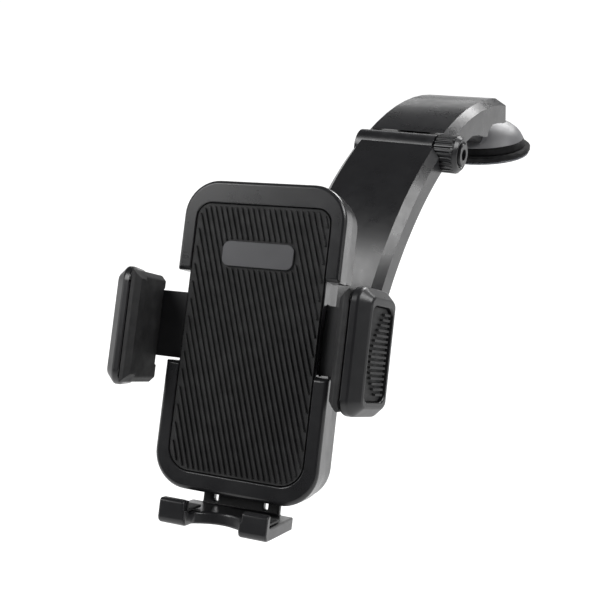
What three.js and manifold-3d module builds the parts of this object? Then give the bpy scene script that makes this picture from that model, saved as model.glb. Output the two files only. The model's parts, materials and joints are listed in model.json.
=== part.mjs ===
// Car phone mount: a suction base, a jointed two-piece arm and a ball-mounted phone cradle.
// Millimetres. The origin is the centre of the base's bottom face, +Z up, +Y away from the driver,
// +X to the driver's right. The cradle hangs in front of the base and below it.
import * as THREE from 'three';
import { mergeVertices } from 'three/addons/utils/BufferGeometryUtils.js';
import Module from 'manifold-3d';

const wasm = await Module();
wasm.setup();

// ---------------------------------------------------------------- driving dimensions
const gap = 0.3;                       // running gap between neighbouring pieces
const smallRound = 16;                 // flats round a small cylinder
const largeRound = 36;                 // flats round a large one

// suction base
const baseRadius = 27.5;               // outer rim of the rubber cup
const padThickness = 1.0;              // gel pad that meets the dashboard
const cupThickness = 2.7;              // rubber cup
const drumHeight = 3.3;                // lower ring of the base body
const domeRadius = baseRadius - 2.3;   // body radius where it meets the rim
const domeTop = 19.0;                   // height of the dome above the dashboard
const domeRoundness = 2.3;             // exponent of the dome's rounded side
const domeWall = 2.0;
const frontCutAngle = 35;              // slope of the flat cut on the dome's front
const frontCutY = 0.6 - domeRadius;    // where that slope meets the base ring

// base hinge
const pitchY = -baseRadius - 20.5;
const pitchZ = 27.5;
const bracketHalfWidth = 8;
const hingePinRadius = 1.9;
const pinRadius = 1.1;                 // pin of the lock lever

// arm: one long arc split by the elbow
const armRadius = 151.5;               // outer face of the arm
const armCentreY = pitchY - 12.5;
const armCentreZ = -111.5;
const armWidth = 42.2;
const armBevel = 3.3;
const armWall = 2.6;
const armDepth = 11.3;
const armHalf = armWidth / 2;
const upperRearAngle = -11.9;          // where the rear chamfer starts
const elbowAngle = 16.6;
const barrelRadius = 7.8;
const elbowInset = barrelRadius - 1.3; // elbow axis below the outer face
const barrelGroove = 1.0;              // groove between the barrel and the upper arm
const lowerEndAngle = 63.5;

// elbow knob
const knobRadius = 8.4;
const knobStartX = armHalf - 3.5;
const knobLength = 10.6;
const knobRibs = 26;
const boltRadius = 2.0;

// ball joint
const ballRadius = 8.5;
const ballStandOff = 27.7;             // ball centre above the arm's outer face
const ballAngle = 57.25;               // where along the arc the stud stands
const neckRadius = 4.2;
const seatProud = 2;                   // height of the stud's seat above the arm
const linerThickness = 0.9;
const socketWall = 2.5;
const nutWall = 3.0;

// cradle pose at rest
const cradleYaw = 11.5;
const cradleTilt = 30;

// cradle, in its own frame: x right, u up, n towards the phone, from the ball's centre
const phoneHalfWidth = 35.75;          // half of a 71.5 mm phone, held at rest
const phoneFrontN = 42;
const plateHalfWidth = phoneHalfWidth - 5.95;
const plateTop = 50.1;
const plateBottom = -57.2;
const plateCorner = 12.5;
const notchDepth = 4.7;
const notchTop = 17.8;
const rearFaceN = 14;
const splitN = 24.1;                   // parting line between the rear housing and the front frame
const frontFaceN = 33;
const shellWall = 2.0;
const padHalfWidth = plateHalfWidth - 5.4;
const padTop = 41.8;
const padBottom = -50.7;
const padTopCorner = 5;
const padBottomCorner = 8;
const padProud = 0.7;
const padInset = 1.4;                  // depth of the pad's pocket in the frame
const ribPitch = 2.0;
const ribLean = 18;                    // degrees from upright
const clampPlaneN = 25.4;              // back of the rack plates
const clampPlateThickness = 3.2;
const jawTop = 16.4;
const jawBottom = -24.2;
const jawInner = phoneHalfWidth + 2.75;
const pinionU = -1.5;
const pinionPitchRadius = 5;
const pinionTeeth = 8;
const rackTop = pinionU + pinionPitchRadius + 6.7;
const rackBottom = 2 * pinionU - rackTop;
const notchBottom = rackBottom - 0.8;
const footShelfU = plateBottom - 5.4;

// ---------------------------------------------------------------- materials
const glossBlack = { color: 0x2a2b2e, roughness: 0.25, metalness: 0.0 };
const satinBlack = { color: 0x232426, roughness: 0.45, metalness: 0.0 };
const innerPlastic = { color: 0x1d1e20, roughness: 0.6, metalness: 0.0 };
const softRubber = { color: 0x17181a, roughness: 0.85, metalness: 0.0 };
const badgeGrey = { color: 0x55575b, roughness: 0.35, metalness: 0.0 };
const gelRubber = { color: 0x303338, roughness: 0.3, metalness: 0.0 };
const steel = { color: 0x9a9da1, roughness: 0.3, metalness: 1.0 };
const brass = { color: 0xb08d4a, roughness: 0.35, metalness: 1.0 };
const acetal = { color: 0xd8d8d4, roughness: 0.5, metalness: 0.0 };

// ---------------------------------------------------------------- solids and booleans
const radians = THREE.MathUtils.degToRad;

// Turns a three.js geometry into a solid, with merged corners and outward faces.
function solid(geometry) {
  const plain = geometry.clone();
  plain.deleteAttribute('normal');
  plain.deleteAttribute('uv');
  const merged = mergeVertices(plain, 1e-4);
  const points = Float32Array.from(merged.attributes.position.array);
  const corners = Array.from(merged.index.array);
  const faces = [];
  let volume = 0;
  for (let i = 0; i < corners.length; i += 3) {
    const [a, b, c] = corners.slice(i, i + 3);
    if (a === b || b === c || a === c) continue;
    faces.push(a, b, c);
    const [pa, pb, pc] = [a, b, c].map((k) => new THREE.Vector3().fromArray(points, 3 * k));
    volume += pa.dot(pb.cross(pc));
  }
  if (volume < 0) faces.reverse();
  const mesh = new wasm.Mesh({ numProp: 3, vertProperties: points, triVerts: Uint32Array.from(faces) });
  return new wasm.Manifold(mesh);
}

function geometryOf(body) {
  const mesh = body.getMesh();
  const geometry = new THREE.BufferGeometry();
  geometry.setAttribute('position', new THREE.BufferAttribute(Float32Array.from(mesh.vertProperties), 3));
  geometry.setIndex(new THREE.BufferAttribute(Uint32Array.from(mesh.triVerts), 1));
  geometry.computeVertexNormals();
  return geometry;
}

function join(...bodies) {
  return bodies.reduce((whole, next) => whole.add(next));
}

function cut(body, ...tools) {
  return tools.reduce((rest, tool) => rest.subtract(tool), body);
}

// ---------------------------------------------------------------- shape helpers
function extruded(outline, length, curveSegments) {
  return new THREE.ExtrudeGeometry(outline, { depth: length, bevelEnabled: false, curveSegments });
}

// Outline in (x, y), pushed from z0 to z1.
function alongZ(outline, z0, z1, curveSegments = 6) {
  return solid(extruded(outline, z1 - z0, curveSegments).translate(0, 0, z0));
}

// Outline in (y, z), pushed from x0 to x1.
function alongX(outline, x0, x1, curveSegments = 6) {
  const turn = new THREE.Matrix4().makeBasis(
    new THREE.Vector3(0, 1, 0), new THREE.Vector3(0, 0, 1), new THREE.Vector3(1, 0, 0));
  return solid(extruded(outline, x1 - x0, curveSegments).applyMatrix4(turn).translate(x0, 0, 0));
}

// Outline in (z, x), pushed from y0 to y1.
function alongY(outline, y0, y1, curveSegments = 6) {
  const turn = new THREE.Matrix4().makeBasis(
    new THREE.Vector3(0, 0, 1), new THREE.Vector3(1, 0, 0), new THREE.Vector3(0, 1, 0));
  return solid(extruded(outline, y1 - y0, curveSegments).applyMatrix4(turn).translate(0, y0, 0));
}

function polygon(points) {
  return new THREE.Shape(points.map(([a, b]) => new THREE.Vector2(a, b)));
}

// Rectangle with its own radius at the upper and the lower corners.
function roundedRectangle(a0, b0, a1, b1, upper, lower = upper) {
  const outline = new THREE.Shape();
  outline.absarc(a1 - lower, b0 + lower, lower, -Math.PI / 2, 0, false);
  outline.absarc(a1 - upper, b1 - upper, upper, 0, Math.PI / 2, false);
  outline.absarc(a0 + upper, b1 - upper, upper, Math.PI / 2, Math.PI, false);
  outline.absarc(a0 + lower, b0 + lower, lower, Math.PI, 1.5 * Math.PI, false);
  outline.closePath();
  return outline;
}

function box(x0, x1, y0, y1, z0, z1) {
  const geometry = new THREE.BoxGeometry(x1 - x0, y1 - y0, z1 - z0);
  return solid(geometry.translate((x0 + x1) / 2, (y0 + y1) / 2, (z0 + z1) / 2));
}

// Turned piece about z: pairs of radius and height.
function turned(profile, segments = smallRound) {
  const points = profile.map(([r, z]) => new THREE.Vector2(r, z));
  return solid(new THREE.LatheGeometry(points, segments).rotateX(Math.PI / 2));
}

// Turned piece about x through (y, z): pairs of radius and x.
function turnedOnX(profile, y, z, segments = smallRound) {
  const points = profile.map(([r, x]) => new THREE.Vector2(r, x));
  const geometry = new THREE.LatheGeometry(points, segments).rotateX(Math.PI / 2).rotateY(Math.PI / 2);
  return solid(geometry.translate(0, y, z));
}

function rod(radius, z0, z1, x = 0, y = 0, segments = smallRound) {
  const geometry = new THREE.CylinderGeometry(radius, radius, z1 - z0, segments).rotateX(Math.PI / 2);
  return solid(geometry.translate(x, y, (z0 + z1) / 2));
}

function rodOnX(radius, x0, x1, y, z, segments = smallRound) {
  const geometry = new THREE.CylinderGeometry(radius, radius, x1 - x0, segments).rotateZ(Math.PI / 2);
  return solid(geometry.translate((x0 + x1) / 2, y, z));
}

// ---------------------------------------------------------------- named pieces
const mount = new THREE.Group();
mount.name = 'car_phone_mount';

function piece(name, body, look, place = null) {
  const geometry = geometryOf(body);
  if (place) geometry.applyMatrix4(place);
  const mesh = new THREE.Mesh(geometry, new THREE.MeshStandardMaterial(look));
  mesh.name = name;
  mount.add(mesh);
}

// ---------------------------------------------------------------- suction base
const cupBottom = padThickness + gap;
const cupTop = cupBottom + cupThickness;
const drumBottom = cupTop + gap;
const drumTop = drumBottom + drumHeight;
const coverBottom = drumTop + gap;

function domeRadiusAt(z, inset = 0) {
  const height = domeTop - inset;
  const share = Math.pow(Math.min(z / height, 1), domeRoundness);
  return (domeRadius - inset) * Math.pow(1 - share, 1 / domeRoundness);
}

// Dome body between two heights, as a turned solid.
function domeSolid(z0, inset, steps = 7) {
  const top = domeTop - inset;
  const profile = [[0, z0], [domeRadiusAt(z0, inset), z0]];
  for (let i = 1; i <= steps; i += 1) {
    const z = z0 + (top - z0) * Math.sin((i / steps) * Math.PI / 2);
    profile.push([i === steps ? 0 : domeRadiusAt(z, inset), z]);
  }
  return turned(profile, largeRound);
}

// Everything in front of the sloping cut, moved back by an inset.
function frontOfCut(inset) {
  const slope = new THREE.Vector2(Math.cos(radians(frontCutAngle)), Math.sin(radians(frontCutAngle)));
  const normal = new THREE.Vector2(-slope.y, slope.x);
  const foot = new THREE.Vector2(frontCutY, drumTop).addScaledVector(normal, -inset);
  const low = foot.clone().addScaledVector(slope, -40);
  const high = foot.clone().addScaledVector(slope, 60);
  const outline = polygon([[low.x, low.y], [high.x, high.y], [high.x, high.y + 60], [low.x, high.y + 60]]);
  return alongX(outline, -40, 40);
}

const leverPinZ = domeTop - 4.3;
const leverHalfWidth = 6.5;
const slotFront = -5;
const stemRadius = 2;
const stemTravel = 1.2;                // how far the stem drops when the lever is raised
const camRadius = 3.4;
const deckTop = leverPinZ - camRadius - gap;
const deckThickness = 1.2;
const bracketScrewX = 4.2;

function makeBase() {
  piece('gel_pad', rod(baseRadius - 0.6, 0, padThickness, 0, 0, largeRound), gelRubber);

  const hubRadius = 7;
  const hubTop = deckTop - deckThickness - gap;
  const roomTop = cupTop + 2.4;
  const roomBottom = cupTop - 0.8;
  const headRadius = 4.4;
  const rimChamfer = 0.6;
  const cup = turned([
    [0, cupBottom], [baseRadius - rimChamfer, cupBottom], [baseRadius, cupBottom + rimChamfer],
    [baseRadius, cupTop - rimChamfer], [baseRadius - rimChamfer, cupTop], [hubRadius, cupTop],
    [hubRadius, hubTop], [stemRadius + gap, hubTop], [stemRadius + gap, roomTop],
    [headRadius + gap, roomTop], [headRadius + gap, roomBottom], [0, roomBottom],
  ], largeRound);
  piece('suction_cup', cup, softRubber);

  // stem with a flat head in the rubber and a cross hole for the lever's pin
  const headBottom = roomBottom + stemTravel + gap;
  const stem = turned([
    [0, headBottom], [headRadius, headBottom], [headRadius, roomTop - gap], [stemRadius, roomTop - gap],
    [stemRadius, leverPinZ + 1.6], [0, leverPinZ + 1.6],
  ]);
  const crossHole = rodOnX(pinRadius + 0.2, -12, 12, 0, leverPinZ);
  piece('pull_stem', cut(stem, crossHole), steel);

  const floorTop = drumBottom + 1.6;
  const drum = cut(
    turned([[0, drumBottom], [domeRadiusAt(drumBottom), drumBottom], [domeRadiusAt(drumTop), drumTop],
      [0, drumTop]], largeRound),
    rod(domeRadius - 5, floorTop, drumTop + 1, 0, 0, largeRound),
    rod(hubRadius + gap, drumBottom - 1, drumTop + 1));
  piece('base_ring', drum, satinBlack);

  const inside = cut(domeSolid(coverBottom - 2, domeWall), frontOfCut(domeWall));
  const slot = box(-leverHalfWidth - gap, leverHalfWidth + gap, slotFront, 40, deckTop, 40);
  const slotMouth = box(-leverHalfWidth - gap, leverHalfWidth + gap, domeRadius - 9, 40, 0, 40);
  const deck = box(-30, 30, slotFront - 1, 6, deckTop - deckThickness, deckTop);
  let cover = cut(domeSolid(coverBottom, 0), frontOfCut(0), inside);
  cover = join(cover, deck.intersect(cut(domeSolid(coverBottom, 0.5), frontOfCut(0.5))));
  cover = cut(cover, slot, slotMouth, rod(stemRadius + gap, 0, 40));
  for (const x of [-bracketScrewX, bracketScrewX]) cover = cut(cover, onCut(rod(1.5, -10, 10), x));
  piece('dome_cover', cover, glossBlack);

  piece('lever_pin', rodOnX(pinRadius, -leverHalfWidth + 0.3, leverHalfWidth - 0.3, 0, leverPinZ), steel);
  piece('lock_lever', leverSolid(), satinBlack);
  piece('hinge_bracket', bracketSolid(bracketScrewX), innerPlastic);
  for (const [side, x] of [['left', -bracketScrewX], ['right', bracketScrewX]]) {
    const screw = turned([[0, -domeWall - 2], [2.4, -domeWall - 2], [2.4, -domeWall - gap],
      [1.2, -domeWall - gap], [1.2, 4.5], [0, 4.5]]);
    piece(`bracket_screw_${side}`, onCut(screw, x), steel);
  }
}

// Moves a solid built about z onto the sloping face, halfway up the bracket's foot.
const bracketFootReach = 11.2;
function cutFaceMatrix(x) {
  const slope = radians(frontCutAngle);
  return new THREE.Matrix4().makeTranslation(x, frontCutY + bracketFootReach * Math.cos(slope),
    drumTop + bracketFootReach * Math.sin(slope)).multiply(new THREE.Matrix4().makeRotationX(slope));
}
function onCut(body, x) {
  return solid(geometryOf(body).applyMatrix4(cutFaceMatrix(x)));
}

// Lever that lies in the dome's slot: two cam cheeks on the pin and a skin that follows the dome.
function leverSolid() {
  const mouth = domeRadius - 9 + gap;
  const webHalf = 1.6;
  const top = box(-leverHalfWidth, leverHalfWidth, -webHalf, 40, deckTop + gap, 40);
  const skirt = box(-leverHalfWidth, leverHalfWidth, mouth, 40, coverBottom + gap, 40);
  const shell = cut(domeSolid(coverBottom + gap, 0), domeSolid(0, 2.6)).intersect(join(top, skirt));
  const lobe = 1.6;
  const cam = join(
    rodOnX(camRadius - stemTravel, -leverHalfWidth, leverHalfWidth, 0, leverPinZ),
    rodOnX(lobe, -leverHalfWidth, leverHalfWidth, 0, leverPinZ - camRadius + lobe),
    box(-leverHalfWidth, leverHalfWidth, -webHalf, webHalf, leverPinZ, leverPinZ + 3.4));
  const lipY = domeRadiusAt(coverBottom + gap);
  const lipTop = coverBottom + 2.4;
  const lip = box(-leverHalfWidth, leverHalfWidth, lipY - 2.5, lipY + 1.6, coverBottom + gap, lipTop);
  const stemRoom = box(-stemRadius - gap, stemRadius + gap, -20, 2.8, 0, leverPinZ + 2.9);
  return cut(join(shell, cam, lip), stemRoom,
    rodOnX(pinRadius + 0.05, -leverHalfWidth - 1, leverHalfWidth + 1, 0, leverPinZ));
}

// Link from the dome's sloping face up to the arm's hinge.
function bracketSolid(screwX) {
  const slope = radians(frontCutAngle);
  const along = (t, lift) => [
    frontCutY + t * Math.cos(slope) - lift * Math.sin(slope),
    drumTop + t * Math.sin(slope) + lift * Math.cos(slope)];
  const footLow = along(bracketFootReach - 6.2, gap);
  const footHigh = along(bracketFootReach + 6.2, gap);
  const link = polygon([[pitchY - 2.6, pitchZ - 4.9], footLow, footHigh, [pitchY + 2.4, pitchZ + 4.9]]);
  let body = join(
    alongX(link, -bracketHalfWidth, bracketHalfWidth),
    rodOnX(5.5, -bracketHalfWidth, bracketHalfWidth, pitchY, pitchZ, 32));
  body = cut(body, rodOnX(hingePinRadius + gap, -12, 12, pitchY, pitchZ));
  for (const x of [-screwX, screwX]) body = cut(body, onCut(rod(1.2 + gap, -10, 5), x));
  return body;
}

// ---------------------------------------------------------------- arm
// Point on the arm's arc: degrees forward of the crest, and radius.
function armPoint(angle, radius) {
  return [armCentreY - radius * Math.sin(radians(angle)), armCentreZ + radius * Math.cos(radians(angle))];
}

// Sector of the arm's side view between two angles and two radii.
function armSector(fromAngle, toAngle, innerRadius, outerRadius) {
  const outline = new THREE.Shape();
  const a = radians(90 + fromAngle);
  const b = radians(90 + toAngle);
  outline.absarc(armCentreY, armCentreZ, outerRadius, a, b, false);
  outline.absarc(armCentreY, armCentreZ, innerRadius, b, a, true);
  outline.closePath();
  return outline;
}

// Full ring with a given cross-section of (radius, x) pairs; a profile picks the stretch in use.
function armRing(section) {
  const points = section.map(([r, x]) => new THREE.Vector2(r, x));
  points.push(points[0].clone());
  const geometry = new THREE.LatheGeometry(points, 90);
  const turn = new THREE.Matrix4().makeBasis(
    new THREE.Vector3(0, 1, 0), new THREE.Vector3(1, 0, 0), new THREE.Vector3(0, 0, -1));
  return geometry.applyMatrix4(turn).translate(0, armCentreY, armCentreZ);
}

const innerHalf = armHalf - armWall;
const [elbowY, elbowZ] = armPoint(elbowAngle, armRadius - elbowInset);
const barrelRightX = knobStartX - 1.2;
const knuckleHalf = 8;
const knuckleRadius = barrelRadius - 2;
const notchRadius = knobRadius + 0.6;

// Open channel with bevelled outer edges, as deep as asked.
function channel(depth) {
  const r = armRadius;
  return solid(armRing([
    [r - depth, -armHalf], [r - armBevel, -armHalf], [r, -armHalf + armBevel], [r, armHalf - armBevel],
    [r - armBevel, armHalf], [r - depth, armHalf], [r - depth, innerHalf], [r - armWall, innerHalf],
    [r - armWall, -innerHalf], [r - depth, -innerHalf],
  ]));
}

function makeUpperArm() {
  const earDepth = 20;
  const rearCorner = armPoint(upperRearAngle, armRadius);
  const side = new THREE.Shape();
  const lowEdge = armRadius - 12.2;
  const rearStart = 75;
  const [rear, front] = [90 + upperRearAngle, 90 + elbowAngle].map(radians);
  side.absarc(armCentreY, armCentreZ, lowEdge, radians(rearStart), front, false);
  side.absarc(armCentreY, armCentreZ, armRadius + 3, front, rear, true);
  side.lineTo(rearCorner[0], rearCorner[1]);
  side.lineTo(rearCorner[0] + 7.3, rearCorner[1] - 4.8);
  side.lineTo(rearCorner[0] + 8.2, armCentreZ + lowEdge * Math.sin(radians(rearStart)));
  side.closePath();
  // ear below the side wall: a long slope in front of the hinge and a short one behind it
  const ear = polygon([[-22, 0], [-12.3, -1.9], [-6.5, -4.0], [-0.6, -5.7], [1.3, -2.7], [6.2, -1.3],
    [6.2, 6], [-22, 6]].map(([y, z]) => [pitchY + y, pitchZ + z]));
  let body = channel(earDepth).intersect(join(
    alongX(side, -armHalf - 1, armHalf + 1, 24), alongX(ear, -armHalf - 1, armHalf + 1)));

  const lugInner = bracketHalfWidth + gap;
  const lugOuter = lugInner + 4;
  const lugHead = 8.5;
  for (const sign of [-1, 1]) {
    const [x0, x1] = [sign * lugInner, sign * lugOuter].sort((a, b) => a - b);
    const post = box(x0, x1, pitchY - 5, pitchY + 5, pitchZ, pitchZ + lugHead + 2);
    body = join(body, rodOnX(5.5, x0, x1, pitchY, pitchZ),
      post.intersect(alongX(armSector(-14, 16, armRadius - 25, armRadius - 1), x0, x1, 24)));
  }
  body = cut(body, rodOnX(hingePinRadius + gap, -innerHalf - 0.01, innerHalf + 0.01, pitchY, pitchZ));

  // the front end wraps the elbow barrel and leaves room for the knob
  body = cut(body,
    rodOnX(barrelRadius + barrelGroove, -armHalf - 1, armHalf + 1, elbowY, elbowZ, 40),
    rodOnX(notchRadius, barrelRightX, armHalf + 1, elbowY, elbowZ));
  const tongueRoot = elbowY + barrelRadius + 7;
  const tongueBottom = elbowZ - knuckleRadius + 0.4;
  const blockStart = elbowY + barrelRadius + 2.2;
  const tongueBlock = box(-knuckleHalf, knuckleHalf, blockStart, tongueRoot, tongueBottom, elbowZ + 14);
  const underTopWall = alongX(armSector(0, elbowAngle, armRadius - 25, armRadius - 1), -armHalf, armHalf, 12);
  const tongue = join(
    rodOnX(knuckleRadius, -knuckleHalf, knuckleHalf, elbowY, elbowZ),
    box(-knuckleHalf, knuckleHalf, elbowY, tongueRoot, tongueBottom, elbowZ + 1.2),
    tongueBlock.intersect(underTopWall));
  body = cut(join(body, tongue), rodOnX(boltRadius + gap, -12, 12, elbowY, elbowZ));

  const bossAngle = 7;
  const [bossY, bossZ] = armPoint(bossAngle, armRadius - 10.4);
  const bossTurn = new THREE.Matrix4().makeTranslation(0, bossY, bossZ)
    .multiply(new THREE.Matrix4().makeRotationX(radians(bossAngle)));
  const boss = cut(rod(3.2, 0.3, 8.6), rod(1.4, -1, 6));
  body = join(body, solid(geometryOf(boss).applyMatrix4(bossTurn)));
  piece('upper_arm_shell', body, glossBlack);

  // the cover closes the front half of the channel
  const coverSection = alongX(armSector(1.5, 10.8, armRadius - 12, armRadius - 10.4),
    -innerHalf + gap, innerHalf - gap, 8);
  const coverHole = solid(geometryOf(rod(1.9, -5, 3)).applyMatrix4(bossTurn));
  piece('upper_arm_cover', cut(coverSection, coverHole), innerPlastic);
  const screw = turned([[0, -3.6], [2.6, -3.6], [2.6, -1.9], [1.1, -1.9], [1.1, 5.2], [0, 5.2]], 16);
  piece('upper_cover_screw', screw, steel, bossTurn);

  const pinHalf = lugOuter + 2.4;
  piece('hinge_pin', rodOnX(hingePinRadius, -pinHalf, pinHalf, pitchY, pitchZ), steel);
}

function coneScrew(headRadius, headHeight, shankRadius, length) {
  return turned([[0, 0], [headRadius, 0], [headRadius, headHeight], [shankRadius, headHeight],
    [shankRadius, length], [0, length]], 16);
}

// Frame on the arc: z points outward along the arm's radius.
function arcFrame(angle, radius) {
  const [y, z] = armPoint(angle, radius);
  return new THREE.Matrix4().makeTranslation(0, y, z)
    .multiply(new THREE.Matrix4().makeRotationX(radians(angle)));
}
function onArc(body, angle, radius) {
  return solid(geometryOf(body).applyMatrix4(arcFrame(angle, radius)));
}

function makeLowerArm() {
  const side = alongX(armSector(elbowAngle, lowerEndAngle, armRadius - armDepth, armRadius + 3),
    -armHalf - 1, armHalf + 1, 36);
  let body = channel(armDepth).intersect(side);

  // end wall, stud seat and screw bosses
  const endWall = alongX(armSector(lowerEndAngle - 1.1, lowerEndAngle, armRadius - armDepth, armRadius - 1),
    -innerHalf - 0.5, innerHalf + 0.5, 4);
  const seat = onArc(rod(10, -6, seatProud), ballAngle, armRadius);
  body = join(body, endWall, seat);
  body = cut(body, onArc(rod(neckRadius + gap, -10, 10), ballAngle, armRadius),
    onArc(rod(7, -20, -3.3), ballAngle, armRadius));
  const screwAngles = [26, 48];
  for (const angle of screwAngles) {
    const boss = cut(rod(3.2, 1.9, 9.4), rod(1.4, 0, 7.4));
    body = join(body, onArc(boss, angle, armRadius - armDepth));
  }

  // elbow barrel: solid ends, thin hood over the upper arm's knuckle
  let barrel = rodOnX(barrelRadius, -armHalf, barrelRightX, elbowY, elbowZ, 40);
  const insideHalf = knuckleHalf + gap;
  const opening = new THREE.Shape();
  opening.moveTo(elbowY, elbowZ);
  opening.absarc(elbowY, elbowZ, 12, radians(-168), radians(48), false);
  opening.closePath();
  body = cut(body, rodOnX(knuckleRadius + 0.4, -insideHalf, insideHalf, elbowY, elbowZ),
    rodOnX(notchRadius, barrelRightX, armHalf + 1, elbowY, elbowZ));
  barrel = cut(barrel, rodOnX(knuckleRadius + 0.4, -insideHalf, insideHalf, elbowY, elbowZ),
    alongX(opening, -insideHalf, insideHalf));
  body = join(body, barrel);
  body = cut(body, rodOnX(boltRadius + gap, -armHalf - 1, barrelRightX + 1, elbowY, elbowZ),
    rodOnX(4.1, -armHalf - 1, -armHalf + 2.6, elbowY, elbowZ));
  piece('lower_arm_shell', body, glossBlack);

  const coverRadius = armRadius - armDepth;
  const coverOutline = armSector(elbowAngle + 5, lowerEndAngle - 1.5, coverRadius, coverRadius + 1.6);
  let cover = alongX(coverOutline, -innerHalf + gap, innerHalf - gap, 24);
  for (const angle of screwAngles) cover = cut(cover, onArc(rod(1.5, -5, 5), angle, coverRadius));
  piece('lower_arm_cover', cover, innerPlastic);
  screwAngles.forEach((angle, i) => {
    const frame = arcFrame(angle, coverRadius).multiply(new THREE.Matrix4().makeTranslation(0, 0, -1.8));
    piece(`lower_cover_screw_${i + 1}`, coneScrew(2.6, 1.5, 1.1, 8.2), steel, frame);
  });
}

function makeElbow() {
  const shankEnd = knobStartX + knobLength - 2.4;
  const bolt = turnedOnX([[0, -armHalf + 0.2], [3.7, -armHalf + 0.2], [3.7, -armHalf + 2.3],
    [boltRadius, -armHalf + 2.3], [boltRadius, shankEnd], [0, shankEnd]], elbowY, elbowZ);
  piece('elbow_bolt', bolt, steel);
  const washer = cut(rodOnX(5.4, barrelRightX + gap, knobStartX - gap, elbowY, elbowZ),
    rodOnX(boltRadius + gap, 10, 30, elbowY, elbowZ));
  piece('elbow_washer', washer, steel);

  // ribbed grip, raised rim and a dished end with a round socket
  const ribbed = new THREE.Shape();
  const ribDepth = 0.6;
  for (let i = 0; i < knobRibs; i += 1) {
    const step = (2 * Math.PI) / knobRibs;
    const marks = [[0, 0], [0.42, 0], [0.56, ribDepth], [0.86, ribDepth]];
    for (const [share, drop] of marks) {
      const angle = (i + share) * step;
      const radius = knobRadius - drop;
      const point = [elbowY + radius * Math.cos(angle), elbowZ + radius * Math.sin(angle)];
      if (i === 0 && share === 0) ribbed.moveTo(...point);
      else ribbed.lineTo(...point);
    }
  }
  ribbed.closePath();
  const knobEnd = knobStartX + knobLength;
  const grip = alongX(ribbed, knobStartX, knobEnd - 1.8);
  const rim = turnedOnX([
    [0, knobEnd - 3], [knobRadius - 0.3, knobEnd - 3], [knobRadius - 0.1, knobEnd - 1.6],
    [knobRadius - 1.6, knobEnd], [6.0, knobEnd], [5.6, knobEnd - 0.8], [5.0, knobEnd - 0.8],
    [4.7, knobEnd + 0.9], [0, knobEnd + 0.9],
  ], elbowY, elbowZ, 24);
  const insertRadius = 3.6;
  const knob = cut(join(grip, rim),
    rodOnX(boltRadius + gap, 0, knobEnd - 2, elbowY, elbowZ),
    rodOnX(insertRadius + gap, knobStartX - 1, knobStartX + 4.6, elbowY, elbowZ, 6),
    rodOnX(2.5, knobEnd - 1.4, knobEnd + 3, elbowY, elbowZ));
  piece('elbow_knob', knob, satinBlack);
  const insert = cut(rodOnX(insertRadius, knobStartX + 0.2, knobStartX + 4.2, elbowY, elbowZ, 6),
    rodOnX(boltRadius + gap, 0, 40, elbowY, elbowZ));
  piece('knob_nut', insert, brass);
}

// ---------------------------------------------------------------- ball joint
const ballFrame = arcFrame(ballAngle, armRadius + ballStandOff);
const ballCentre = new THREE.Vector3().setFromMatrixPosition(ballFrame);
const cradleFrame = new THREE.Matrix4().makeTranslation(ballCentre.x, ballCentre.y, ballCentre.z)
  .multiply(new THREE.Matrix4().makeRotationZ(radians(cradleYaw)))
  .multiply(new THREE.Matrix4().makeRotationX(radians(90 - cradleTilt)));

// Half circle profile of a sphere between two heights.
function spherePoints(radius, z0, z1, steps) {
  const points = [];
  for (let i = 0; i <= steps; i += 1) {
    const angle = Math.asin(z0 / radius) + (i / steps) * (Math.asin(z1 / radius) - Math.asin(z0 / radius));
    points.push([radius * Math.cos(angle), radius * Math.sin(angle)]);
  }
  return points;
}

function makeBallStud() {
  const seat = -ballStandOff + seatProud + gap;
  const neckTop = -Math.sqrt(ballRadius ** 2 - neckRadius ** 2);
  const ballTop = spherePoints(ballRadius, neckTop, ballRadius, 8);
  ballTop[ballTop.length - 1][0] = 0;
  const spigot = seat - 5.6;
  const stud = turned([[0, spigot], [neckRadius, spigot], [neckRadius, seat], [8.8, seat], [8.8, seat + 1.8],
    [neckRadius + 1.6, seat + 3.2], [neckRadius, seat + 6], ...ballTop], 24);
  const screwHole = rod(1.3 + gap, spigot - 1, spigot + 6);
  piece('ball_stud', cut(stud, screwHole), satinBlack, ballFrame);
  const screwFrame = ballFrame.clone().multiply(new THREE.Matrix4().makeTranslation(0, 0, spigot - 1.9));
  piece('stud_screw', coneScrew(5.4, 1.6, 1.3, 7), steel, screwFrame);
}

const cavityRadius = ballRadius + 2 * (gap + linerThickness) + gap;
const socketRadius = cavityRadius + socketWall;
const nutRadius = socketRadius + gap + nutWall;

function makeSocketParts() {
  const low = -0.4 * ballRadius;
  const high = 0.75 * ballRadius;
  const liner = (name, radius, look) => {
    const inner = spherePoints(radius, low, high, 4);
    const outer = spherePoints(radius + linerThickness, low, high, 4).reverse();
    piece(name, turned([...inner, ...outer, inner[0]]), look, cradleFrame);
  };
  liner('inner_liner', ballRadius + gap, acetal);
  liner('outer_liner', ballRadius + 2 * gap + linerThickness, brass);

  // collar nut with scalloped grip
  const nutBack = -8.2;
  const nutFront = 10.5;
  const lipRadius = ballRadius + 1.4;
  const grip = new THREE.Shape();
  const lobes = 16;
  for (let i = 0; i < lobes * 4; i += 1) {
    const angle = (i / (lobes * 4)) * 2 * Math.PI;
    const radius = nutRadius - (i % 4 < 2 ? 0 : 0.9);
    const point = [radius * Math.cos(angle), radius * Math.sin(angle)];
    if (i === 0) grip.moveTo(...point);
    else grip.lineTo(...point);
  }
  grip.closePath();
  const nut = cut(alongZ(grip, nutBack, nutFront),
    rod(socketRadius + gap, nutBack + 2.2, nutFront + 1),
    rod(lipRadius, nutBack - 1, nutFront));
  piece('collar_nut', nut, satinBlack, cradleFrame);
}

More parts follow.
